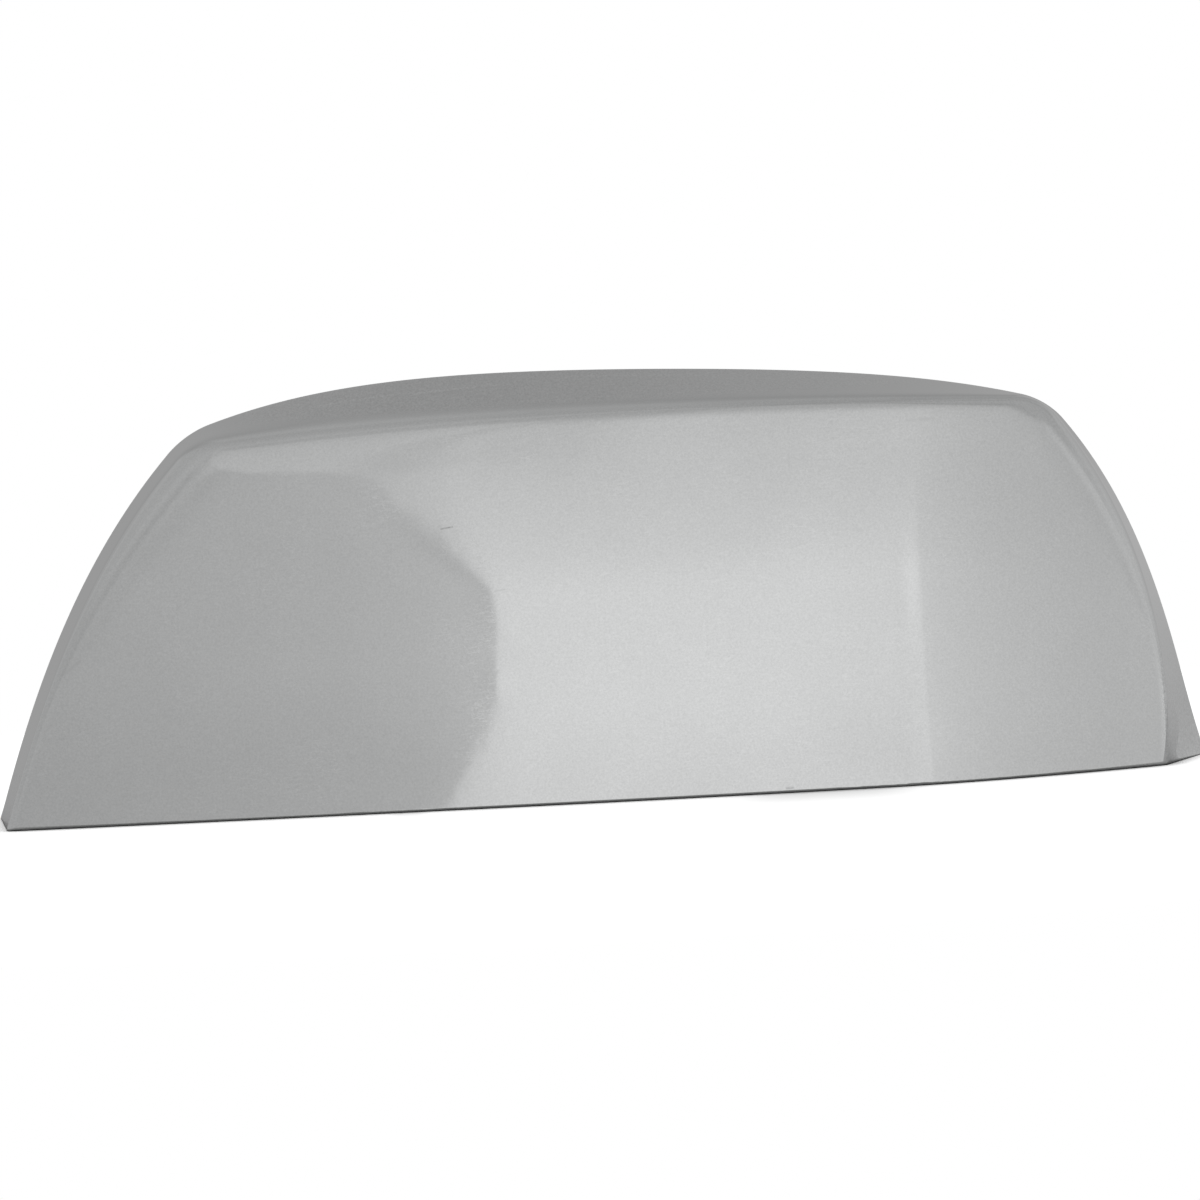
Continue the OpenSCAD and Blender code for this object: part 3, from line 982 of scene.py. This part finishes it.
class COVER_OT_pins(bpy.types.Operator):
    """Builds the three locating pins with their tapered fins"""

    bl_idname = "cover.pins"
    bl_label = "Build the locating pins"

    def execute(self, context):
        f = context.scene.cover_fittings
        made = []
        for side in (-1, 0, 1):
            x = side * f.pin_span / 2
            base = wall_at(x, START_BACK, f.pin_z, FACE_WAY).y - f.root
            template, foot = pin_template(f, f.pin_tip_y - base)
            made.append(rooted(
                f"pin_{side + 1}", [(x, base, f.pin_z)], template, FACE_WAY, START_BACK,
                2 * foot, context,
            ))
        keep_piece(joined_pieces("locating_pins", made))
        return {"FINISHED"}


def hook_profile(f, start):
    """Arm of a hook with its barb, as (y, z) from the arm's start with its top at 0."""
    l, t, b = f.hook_l, f.hook_t, f.barb
    return [
        (start, -t), (l - 2 * b, -t), (l - 2 * b, -t - b), (l - 1.5 * b, -t - b),
        (l, -t), (l, 0),
    ]


class COVER_OT_hooks(bpy.types.Operator):
    """Builds the four snap hooks under the roof and the four along the bottom"""

    bl_idname = "cover.hooks"
    bl_label = "Build the snap hooks"

    def execute(self, context):
        f = context.scene.cover_fittings
        half = f.hook_w / 2
        high = f.hook_gap + f.root
        work = bmesh.new()
        profile = hook_profile(f, -f.hook_t) + [
            (f.hook_t, 0), (f.hook_t, high), (-f.hook_t, high)
        ]
        prism(work, [(y, z - high) for y, z in profile], 0, (-half, half), 4)
        template = finish_template(work, "upper_hook", f.edge_r, (2, -1))
        post_y = f.upper_tip_y - f.hook_l
        xs = [f.upper_x + f.upper_span * (i / 3 - 0.5) for i in range(4)]
        points = [(x, post_y, wall_at(x, post_y, f.pin_z, ROOF_WAY).z + f.root) for x in xs]
        upper = rooted("upper", points, template, ROOF_WAY, START_BACK / 2, high, context)
        work = bmesh.new()
        prism(work, hook_profile(f, 0) + [(0, 0)], 0, (-half, half), 6)
        web = f.hook_l / 2
        prism(
            work,
            [(0, -f.hook_t / 2), (web, -f.hook_t / 2), (web, 0), (f.rib_t, web), (0, web)],
            0, (-f.rib_t / 2, f.rib_t / 2),
        )
        template = finish_template(work, "lower_hook", f.edge_r, (1, 1))
        xs = [f.lower_span * (i / 3 - 0.5) for i in range(4)]
        points = [
            (x, wall_at(x, START_BACK, f.lower_z, FACE_WAY).y - f.root, f.lower_z) for x in xs
        ]
        lower = rooted("lower", points, template, FACE_WAY, START_BACK, web, context)
        keep_piece(joined_pieces("snap_hooks", [upper, lower]))
        return {"FINISHED"}


# ---------------------------------------------------------------- finishes


def new_material(name):
    material = bpy.data.materials.new(name)
    material.use_nodes = True
    tree = material.node_tree
    shader = tree.nodes["Principled BSDF"]
    place = Term(tree, tree.nodes.new("ShaderNodeTexCoord").outputs["Object"])
    return material, tree, shader, place


def noise(tree, place, size, detail=2.0, rough=0.5, long=1.0, lean=0.0):
    """Noise with features of about this size, drawn out along a line that leans from level."""
    if long != 1:
        mapping = tree.nodes.new("ShaderNodeMapping")
        mapping.vector_type = "TEXTURE"
        feed(tree, mapping.inputs["Vector"], place)
        mapping.inputs["Rotation"].default_value = (0, -lean, 0)
        mapping.inputs["Scale"].default_value = (long, 1, 1)
        place = Term(tree, mapping.outputs[0])
    node = tree.nodes.new("ShaderNodeTexNoise")
    feed(tree, node.inputs["Vector"], place)
    node.inputs["Scale"].default_value = 1 / size
    node.inputs["Detail"].default_value = detail
    node.inputs["Roughness"].default_value = rough
    return Term(tree, node.outputs[0])


def bumped(tree, height, depth, under=None):
    """Normal of a surface with this height, 0 to 1, over a depth in metres."""
    node = tree.nodes.new("ShaderNodeBump")
    node.inputs["Strength"].default_value = 1.0
    node.inputs["Distance"].default_value = depth
    feed(tree, node.inputs["Height"], height)
    if under is not None:
        feed(tree, node.inputs["Normal"], under)
    return Term(tree, node.outputs[0])


# Small marks on the plating, and light lines along the roof that are painted highlights with a line of
# painted shade beside them: the two ends in millimetres, half the width, and what is left of the brightness
# there
MARKS_AND_PAINTED_HIGHLIGHTS = [
    ((-29.2, -15.4, 56.8), (-26.9, -15.6, 57.1), 0.28, 0.42),
    ((-19.0, -18.0, 43.7), (-17.0, -18.1, 44.0), 0.28, 0.86),
    ((72.0, -25.1, 1.1), (72.3, -25.1, 1.1), 0.4, 0.45),
    ((66.2, -18.0, 73.4), (71.5, -17.6, 73.6), 0.6, 0.93),
    ((37.6, -25.4, 1.0), (38.8, -25.4, 1.0), 0.45, 0.65),
    ((-19.7, -19.5, 27.2), (-19.3, -19.5, 27.7), 0.5, 0.86),
    # Light lines along the roof, brighter than the plating: painted highlights, with a darker line of painted
    # shade beside them
    ((-53.5, 13.0, 82.2), (-38.0, 13.4, 83.7), 1.3, 1.13),
    ((-33.0, 12.3, 83.7), (-16.5, 14.3, 84.6), 1.4, 1.13),
    ((-34.0, 10.0, 83.3), (-15.0, 12.2, 84.4), 1.2, 0.92),
    ((-2.0, 19.5, 85.2), (25.0, 17.5, 84.2), 1.2, 1.1),
    ((-100.9, 1.3, 49.7), (-97.8, -6.3, 51.7), 0.45, 0.92),
    ((-97.8, -6.3, 51.7), (-95.5, -7.7, 52.7), 0.35, 0.93),
    ((-107.9, -9.2, 31.2), (-104.3, -9.5, 33.9), 0.5, 0.92),
    ((-106.4, 12.9, 42.3), (-102.9, 1.0, 46.1), 0.6, 0.94),
    ((102.7, -9.5, 60.1), (108.0, -3.6, 53.4), 1.0, 0.95),
]
# Patches of fine hairlines: width of a hairline in millimetres, how long it is for that, its
# lean in degrees, and the level of noise above which it shows
HAIRLINES = [(0.22, 34.0, -4.0, 0.655), (0.2, 26.0, 11.0, 0.675), (0.24, 20.0, -58.0, 0.7)]


def mark_share(tree, place, start, end, half_width):
    """1 on a line between two points, fading to 0 at its edges."""
    a, b = Vector(start) * MM, Vector(end) * MM
    run = b - a
    from_a = place - joined(tree, *a)
    t = clamped(calc_vector(tree, "DOT_PRODUCT", from_a, tuple(run)) / run.length_squared)
    off = calc_vector(tree, "LENGTH", from_a - joined(tree, *run) * t)
    return 1.0 - smooth(off / (half_width * MM))


def bright_plating(finish):
    """Bright plating with soft ripples, fine grain, patches of hairlines, small marks, and painted highlights
    beside painted shade along the roof.
    """
    found = bpy.data.materials.get("bright_plating")
    if found:
        return found
    material, tree, shader, place = new_material("bright_plating")
    x, y, z = parts_of(place)
    coarse = most(smooth((z - 79 * MM) / (2 * MM)), smooth((x - 114 * MM) / (1.5 * MM)))
    ripple = noise(tree, place, finish.peel_size, detail=1.0)
    drawn_out = joined(tree, x, y * (1.0 - 0.8 * coarse), z)
    grain = noise(tree, drawn_out, finish.grain_size, detail=3.0, rough=0.65)
    cloud = noise(tree, place, finish.cloud_size, detail=2.0)
    scratched = smooth((noise(tree, place, 14 * MM, detail=2.0) - 0.42) / 0.2)
    hairs = None
    for width, long, lean, level in HAIRLINES:
        line = noise(tree, place, width * MM, detail=0.0, long=long, lean=math.radians(lean))
        line = smooth((line - level) / 0.05)
        hairs = line if hairs is None else most(hairs, line)
    hairs = hairs * scratched
    shade = 1.0 + (grain - 0.5) * (1.0 + 1.5 * coarse) * finish.grain
    shade = shade + (cloud - 0.5) * finish.cloud
    shade = shade + hairs * finish.hair
    # Small marks darken the colour; on the roof painted highlights brighten it and painted shade darkens it
    for start, end, half_width, left in MARKS_AND_PAINTED_HIGHLIGHTS:
        broken = clamped((grain - 0.3) * 4.0)
        share_here = mark_share(tree, place, start, end, half_width) * broken
        shade = shade * (1.0 + share_here * (left - 1.0))
    colour = joined(tree, *[shade * level for level in finish.plate_colour])
    feed(tree, shader.inputs["Base Color"], colour)
    haze = noise(tree, place, 30 * MM, detail=3.0)
    rough = (haze - 0.5) * 0.02 + hairs * 0.05 + finish.plate_rough
    feed(tree, shader.inputs["Roughness"], rough)
    normal = bumped(tree, ripple, finish.peel_height)
    feed(tree, shader.inputs["Normal"], bumped(tree, grain, finish.grain_height, normal))
    shader.inputs["Metallic"].default_value = 1.0
    lay_out(tree)
    return material


def inner_plating(finish):
    """Duller plating of the inside, over the grain of the moulded wall."""
    found = bpy.data.materials.get("inner_plating")
    if found:
        return found
    material, tree, shader, place = new_material("inner_plating")
    grain = noise(tree, place, 0.5 * MM, detail=3.0)
    flow = noise(tree, place, 22 * MM, detail=2.0)
    feed(tree, shader.inputs["Normal"], bumped(tree, grain, 0.012 * MM))
    feed(tree, shader.inputs["Roughness"], flow * 0.12 + (finish.inner_rough - 0.06))
    shader.inputs["Base Color"].default_value = (*finish.inner_colour, 1)
    shader.inputs["Metallic"].default_value = 1.0
    lay_out(tree)
    return material


# ---------------------------------------------------------------- studio


def ramp(tree, place, stops):
    """Level that follows a list of (place, level) stops, both as they are."""
    low, high = stops[0][0], stops[-1][0]
    node = tree.nodes.new("ShaderNodeValToRGB")
    node.color_ramp.interpolation = "LINEAR"
    elements = node.color_ramp.elements
    while len(elements) < len(stops):
        elements.new(0.5)
    for element, (at, level) in zip(elements, stops):
        element.position = (at - low) / (high - low)
        element.color = (level, level, level, 1)
    feed(tree, node.inputs[0], (place - low) / (high - low))
    out = tree.nodes.new("ShaderNodeSeparateXYZ")
    tree.links.new(node.outputs["Color"], out.inputs[0])
    return Term(tree, out.outputs[0])


# What the plating mirrors, as levels of white. Over: degrees from the front horizon, up over
# the top, to the horizon behind. Around: degrees from the front, right positive. Panel: the
# same for the grey panel at the left.
OVER = [
    (0, 0.93), (3.5, 0.96), (5.5, 1.01), (9, 1.0), (10.4, 0.9), (11.7, 0.85), (12.7, 0.82),
    (16, 0.8), (30, 0.79), (40, 0.775), (48, 0.73), (58, 0.66), (68, 0.6), (88, 0.555),
    (110, 0.53), (124, 0.505), (138, 0.455), (148, 0.4), (156, 0.362), (170, 0.36), (180, 0.355),
]
AROUND = [
    (-180, 0.6), (-165, 0.6), (-140, 0.63), (-60, 0.68), (-40, 0.69), (-25, 0.73), (-16, 0.75),
    (-12.5, 0.8), (-10.5, 1.01), (-4, 1.01), (-1, 0.975), (7, 0.945), (12.8, 0.945),
    (14.3, 0.96), (14.8, 0.885), (20, 0.85), (32, 0.77), (40, 0.727), (47, 0.694), (53, 0.69),
    (60, 0.74), (75, 0.77), (110, 0.77), (130, 0.7), (160, 0.56), (167.5, 0.55), (172, 0.57),
    (180, 0.6),
]
PANEL = [
    (-120, 0.58), (-60, 0.585), (-36, 0.56), (-20, 0.56), (-17, 0.59), (-14, 0.625),
    (-12.5, 0.67), (-11.3, 0.73), (-10, 0.76),
]
# Top edge of the panel in hundreds of degrees above the horizon, at degrees from the front
PANEL_TOP = [
    (-60, 0.62), (-19, 0.62), (-17.5, 0.205), (-16, 0.168), (-15, 0.15), (-14, 0.139),
    (-13, 0.133), (-12, 0.13),
]
# Soft spots: degrees from the front and above the horizon, their two radii, and their gain
SPOTS = [
    (11.5, 8.5, 3.0, 1.6, 0.06), (3.0, 4.0, 6.0, 1.2, -0.045), (-169.0, 34.0, 7.0, 20.0, 0.12),
    (12.2, 8.6, 2.0, 0.5, 0.035),
]


def grey_panel(tree, around, rise, uneven):
    """How far a direction meets the grey panel at the left, 1 inside and 0 past its soft edges,
    and how far it meets the darker rim beside the panel's cut corner."""
    edge_at, edge_bow, edge_rise, corner = -10.85, 0.06, 7.2, 0.8
    cut_from, cut_slope = 9.3, 0.76
    top_at = ramp(tree, around, PANEL_TOP) * 100.0
    off = edge_rise - clamped(rise / edge_rise) * edge_rise
    cut = most(rise - cut_from, 0.0) * cut_slope
    across = around - (edge_at - off * off * edge_bow) + cut + corner
    above = rise - top_at + corner
    out_x, out_y = most(across, 0.0), most(above, 0.0)
    beyond = root_of(out_x * out_x + out_y * out_y) + least(most(across, above), 0.0) - corner
    upper = smooth((rise - 9.5) / 2.5)
    soft = 0.16 + upper * 0.3 + smooth((-13.3 - around) / 2.5) * upper * 1.6
    share = 1.0 - smooth((beyond + (uneven - 0.5) * (0.3 + upper * 0.8)) / soft + 0.5)
    far = smooth((-16.0 - around) / 24.0)
    share = share * (1.0 - smooth((rise - 17.0) / 10.0) * (1.0 - far))
    in_rim, at_cut = (beyond + 0.4) / 0.35, (rise - 9.8) / 1.7
    return share, bell(in_rim * in_rim + at_cut * at_cut)


def studio_level(tree, direction):
    """Level of white that the plating mirrors in each direction."""
    x, y, z = parts_of(direction)
    degrees = 180 / math.pi
    wide = calc(tree, "ABSOLUTE", x)
    over = calc(tree, "ARCTAN2", calc(tree, "ABSOLUTE", z), 0.0 - y) * degrees
    around = calc(tree, "ARCTAN2", x, 0.0 - y) * degrees
    rise = calc(tree, "ARCTAN2", z, root_of(x * x + y * y)) * degrees
    uneven = noise(tree, direction, math.radians(1.5), detail=3.0)
    hump = (rise - 12.0) * (1 / 8)
    side = 0.46 + 0.11 * smooth((wide - 0.3) / 0.25) + 0.1 * bell(hump * hump)
    sideways = most(smooth((0.0 - x - 0.25) / 0.2), smooth((x - 0.08) / 0.1))
    high = ramp(tree, over, OVER)
    high = mixed(high, most(high, side), sideways)
    corner = smooth((rise - 19.0) / 8.0) * smooth((around - 40.0) / 15.0)
    corner = corner * smooth((150.0 - around) / 20.0)
    strip = ramp(tree, around, AROUND)
    faded = least(strip, 0.945 - 0.089 * clamped((around - 12.3) / 7.7))
    strip = mixed(strip, faded, smooth((rise - 9.3) / 1.0) * smooth((around - 11.5) / 0.8))
    level = strip * (0.6 + 0.4 * high) * (1.0 - 0.18 * corner)
    level = least(high, level)
    beside = smooth((-6.0 - around) / 5.0) * smooth((around + 60.0) / 30.0)
    beside = beside * (1.0 - smooth((-13.2 - around) / 1.5) * smooth((64.0 - rise) / 8.0))
    level = level * (1.0 - 0.08 * beside * smooth((rise - 12.0) / 1.5))
    outer = smooth((-30.0 - around) / 12.0) * smooth((38.0 - rise) / 12.0)
    back = smooth((-143.0 - around) / 10.0) * smooth((22.0 - rise) / 12.0)
    panel = ramp(tree, around, PANEL) * (0.93 + 0.07 * clamped((rise - 4.0) / 3.0))
    panel = panel * (1.0 - 0.09 * outer) * (1.0 - 0.17 * back)
    share, rim = grey_panel(tree, around, rise, uneven)
    level = mixed(level, least(level, panel), share) * (1.0 - 0.11 * rim)
    for at, up, across, tall, gain in SPOTS:
        dx, dy = (around - at) / across, (rise - up) / tall
        level = level * (1.0 + bell(dx * dx + dy * dy) * gain)
    return level


def studio_light(studio):
    """World: white for the camera, a soft studio for the plating, a plain level for the rest."""
    world = bpy.data.worlds.new("soft_studio")
    world.use_nodes = True
    tree = world.node_tree
    tree.nodes.clear()
    direction = Term(tree, tree.nodes.new("ShaderNodeTexCoord").outputs["Generated"])
    level = studio_level(tree, direction)
    path = tree.nodes.new("ShaderNodeLightPath")
    camera = Term(tree, path.outputs["Is Camera Ray"])
    mirror = clamped(
        Term(tree, path.outputs["Is Glossy Ray"]) + Term(tree, path.outputs["Is Transmission Ray"])
    )
    # Cycles works out a side of a Mix Shader only for the rays that need it
    chosen = tree.nodes.new("ShaderNodeMixShader")
    feed(tree, chosen.inputs[0], mirror)
    for socket, strength in zip(chosen.inputs[1:], (most(camera, studio.fill), level)):
        background = tree.nodes.new("ShaderNodeBackground")
        background.inputs["Color"].default_value = (1, 1, 1, 1)
        feed(tree, background.inputs["Strength"], strength)
        tree.links.new(background.outputs[0], socket)
    out = tree.nodes.new("ShaderNodeOutputWorld")
    tree.links.new(chosen.outputs[0], out.inputs["Surface"])
    lay_out(tree)
    bpy.context.scene.world = world


# Soft shadows on the floor in front of the cover, in millimetres: X, Y, two radii, and share
SHADOWS = [(46.0, -24.0, 17.0, 20.0, 0.42), (-39.0, -18.0, 3.5, 10.0, 0.28)]


def floor_material(studio):
    """White floor that darkens only close to where something stands on it."""
    material, tree, shader, place = new_material("floor")
    near = tree.nodes.new("ShaderNodeAmbientOcclusion")
    near.samples = 3
    near.inputs["Distance"].default_value = studio.contact
    open_share = clamped((Term(tree, near.outputs["AO"]) - 0.3) / 0.6)
    x, y, _ = parts_of(place)
    lit = 1.0
    for at_x, at_y, wide, deep, dark in SHADOWS:
        dx, dy = (x - at_x * MM) / (wide * MM), (y - at_y * MM) / (deep * MM)
        lit = (1.0 - bell(dx * dx * dx * dx + dy * dy) * dark) * lit
    paint = joined(tree, *[open_share * level for level in studio.floor_colour])
    feed(tree, shader.inputs["Base Color"], paint)
    shader.inputs["Roughness"].default_value = 0.9
    shader.inputs["Specular IOR Level"].default_value = 0.0
    path = tree.nodes.new("ShaderNodeLightPath")
    mirrored = clamped(
        Term(tree, path.outputs["Is Glossy Ray"]) + Term(tree, path.outputs["Is Transmission Ray"])
    )
    mirrored = mirrored * studio.floor_mirrored * (1.0 + 2.0 * smooth((x - 0.1) / 0.05))
    seen = clamped(Term(tree, path.outputs["Is Camera Ray"]) * lit + mirrored)
    shader.inputs["Emission Color"].default_value = (1, 1, 1, 1)
    feed(tree, shader.inputs["Emission Strength"], seen * open_share * studio.floor_glow)
    lay_out(tree)
    return material


def add_lamp(name, place, size, power):
    """Soft square lamp that points at the cover and isn't seen in the plating."""
    lamp = bpy.data.lights.new(name, "AREA")
    lamp.size, lamp.energy = size, power
    obj = add_object(name, lamp)
    obj.location = place
    obj.rotation_euler = (Vector((0, 0, 0.04)) - Vector(place)).to_track_quat("-Z", "Y").to_euler()
    obj.visible_glossy = False
    return obj


class COVER_OT_studio(bpy.types.Operator):
    """Sets up the floor, the lamps, the surrounding light and the camera"""

    bl_idname = "cover.studio"
    bl_label = "Set up the studio"

    def execute(self, context):
        studio = context.scene.cover_studio
        work = bmesh.new()
        bmesh.ops.create_circle(
            work, cap_ends=True, segments=128, radius=studio.floor_radius
        )
        mesh = bpy.data.meshes.new("floor")
        work.to_mesh(mesh)
        work.free()
        floor = add_object("floor", mesh)
        floor.location = (0, 0, LOW.z)
        mesh.materials.append(floor_material(studio))
        studio_light(studio)
        add_lamp("key_lamp", (-0.9, -1.0, 1.6), 1.2, 6)
        add_lamp("fill_lamp", (1.2, -0.4, 1.4), 1.2, 4)
        add_lamp("back_lamp", (0.1, 1.3, 1.5), 1.2, 4)
        camera = bpy.data.cameras.new("camera")
        camera.lens, camera.sensor_width = studio.lens, 36
        camera.shift_x, camera.shift_y = studio.shift_x, studio.shift_y
        camera.clip_start, camera.clip_end = 0.05, 40
        obj = add_object("camera", camera)
        e, r = studio.elevation, studio.roll
        ahead = Vector((0, math.cos(e), -math.sin(e)))
        up = Vector((0, math.sin(e), math.cos(e)))
        right = Vector((1, 0, 0))
        turned = Matrix((
            right * math.cos(r) - up * math.sin(r), right * math.sin(r) + up * math.cos(r), -ahead
        )).transposed()
        place = Vector((0, 0, studio.aim_height)) - ahead * studio.distance
        obj.matrix_world = Matrix.Translation(place) @ turned.to_4x4()
        context.scene.camera = obj
        context.scene.view_settings.view_transform = "Standard"
        return {"FINISHED"}


class COVER_PT_panel(bpy.types.Panel):
    """Lists the cover's pieces and their sizes"""

    bl_label = "Mirror cover"
    bl_idname = "COVER_PT_panel"
    bl_space_type = "VIEW_3D"
    bl_region_type = "UI"
    bl_category = "Mirror cover"

    def draw(self, context):
        for operator in OPERATORS:
            self.layout.operator(operator.bl_idname)
        for name in GROUPS:
            box = self.layout.box()
            group = getattr(context.scene, name)
            box.label(text=name.replace("_", " ").capitalize())
            for prop in group.bl_rna.properties:
                if prop.identifier not in {"rna_type", "name"}:
                    box.prop(group, prop.identifier)


OPERATORS = [COVER_OT_shell, COVER_OT_ribs, COVER_OT_pins, COVER_OT_hooks, COVER_OT_studio]
GROUPS = {
    "cover_outline": CoverOutline, "cover_section": CoverSection,
    "cover_fittings": CoverFittings, "cover_finish": CoverFinish, "cover_studio": CoverStudio,
}


def register():
    for cls in [*GROUPS.values(), *OPERATORS, COVER_PT_panel]:
        bpy.utils.register_class(cls)
    for name, group in GROUPS.items():
        setattr(bpy.types.Scene, name, PointerProperty(type=group))


def unregister():
    for name in GROUPS:
        delattr(bpy.types.Scene, name)
    for cls in reversed([*GROUPS.values(), *OPERATORS, COVER_PT_panel]):
        bpy.utils.unregister_class(cls)


def main():
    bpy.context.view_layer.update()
    register()
    bpy.ops.cover.shell()
    bpy.ops.cover.ribs()
    bpy.ops.cover.pins()
    bpy.ops.cover.hooks()
    bpy.ops.cover.studio()
    bpy.context.view_layer.update()


if __name__ == "__main__":
    main()
